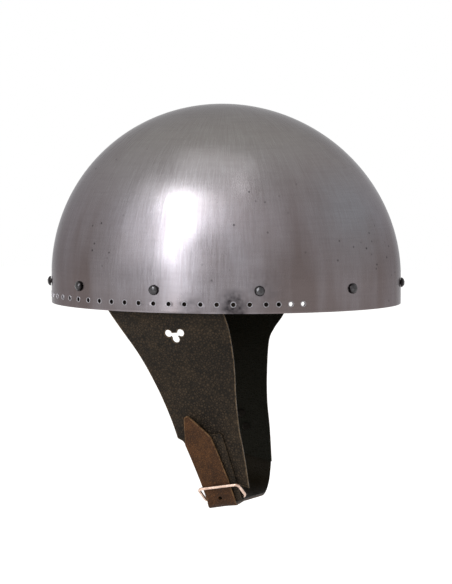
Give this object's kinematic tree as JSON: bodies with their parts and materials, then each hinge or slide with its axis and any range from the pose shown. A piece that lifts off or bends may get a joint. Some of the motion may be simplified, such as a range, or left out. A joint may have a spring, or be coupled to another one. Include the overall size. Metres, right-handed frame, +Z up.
{
  "type": "helmet",
  "caption": "Plain iron skull cap with a riveted leather liner, two leather cheek flaps and a buckled chin strap.",
  "frame": {"origin": "centre of the head opening, in the plane of the rim's lower edge", "axes": "+X towards the wearer's front, +Y towards the wearer's left, +Z up"},
  "size_m": [0.2375, 0.196, 0.2688],
  "materials": {
    "skull_steel": "hand polished mild steel, satin, with faint upright brushing",
    "rivet_iron": "darkened round headed rivets with worn, bright crowns",
    "liner_leather": "natural vegetable tanned leather, flesh side in",
    "dark_leather": "dark brown oiled leather with lighter cut edges",
    "russet_leather": "russet leather, mottled, with pale cut edges",
    "brass": "drawn brass wire, slightly worn",
    "lacing": "round leather lace"
  },
  "bodies": {
    "helmet": {"skull_cap": "skull_steel", "liner_band": "dark_leather", "liner_petal_1": "liner_leather", "liner_petal_2": "liner_leather", "liner_petal_3": "liner_leather", "liner_petal_4": "liner_leather", "liner_petal_5": "liner_leather", "liner_petal_6": "liner_leather", "liner_petal_7": "liner_leather", "liner_petal_8": "liner_leather", "crown_lace": "lacing", "rivet_front": "rivet_iron", "rivet_right_1": "rivet_iron", "rivet_left_1": "rivet_iron", "rivet_right_2": "rivet_iron", "rivet_left_2": "rivet_iron", "rivet_right_3": "rivet_iron", "rivet_left_3": "rivet_iron", "rivet_right_4": "rivet_iron", "rivet_left_4": "rivet_iron", "rivet_right_5": "rivet_iron", "rivet_left_5": "rivet_iron", "washer_front": "rivet_iron", "washer_right_1": "rivet_iron", "washer_left_1": "rivet_iron", "washer_right_2": "rivet_iron", "washer_left_2": "rivet_iron", "washer_right_3": "rivet_iron", "washer_left_3": "rivet_iron", "washer_right_4": "rivet_iron", "washer_left_4": "rivet_iron", "washer_right_5": "rivet_iron", "washer_left_5": "rivet_iron"},
    "chin_harness": {"cheek_flap_right": "dark_leather", "cheek_flap_left": "dark_leather", "buckle_tab": "dark_leather", "chin_strap": "russet_leather", "tab_rivet_1": "brass", "tab_rivet_2": "brass", "strap_rivet_1": "rivet_iron", "strap_rivet_2": "rivet_iron"},
    "buckle_frame": {"buckle_frame": "brass"},
    "buckle_tongue": {"buckle_tongue": "brass"}
  },
  "joints": [
    {"name": "harness_swing", "type": "hinge", "parent": "helmet", "child": "chin_harness", "pos_m": [-0.02894, 0, 0.0142], "axis": [0, -1, 0], "range_deg": [-10, 10]},
    {"name": "buckle_frame_turn", "type": "hinge", "parent": "chin_harness", "child": "buckle_frame", "pos_m": [0.00932, -0.04871, -0.12444], "axis": [0.9528, -0.2431, 0.182], "range_deg": [0, 135]},
    {"name": "buckle_tongue_turn", "type": "hinge", "parent": "chin_harness", "child": "buckle_tongue", "pos_m": [0.00932, -0.04871, -0.12444], "axis": [0.9528, -0.2431, 0.182], "range_deg": [-8, 1]}
  ]
}
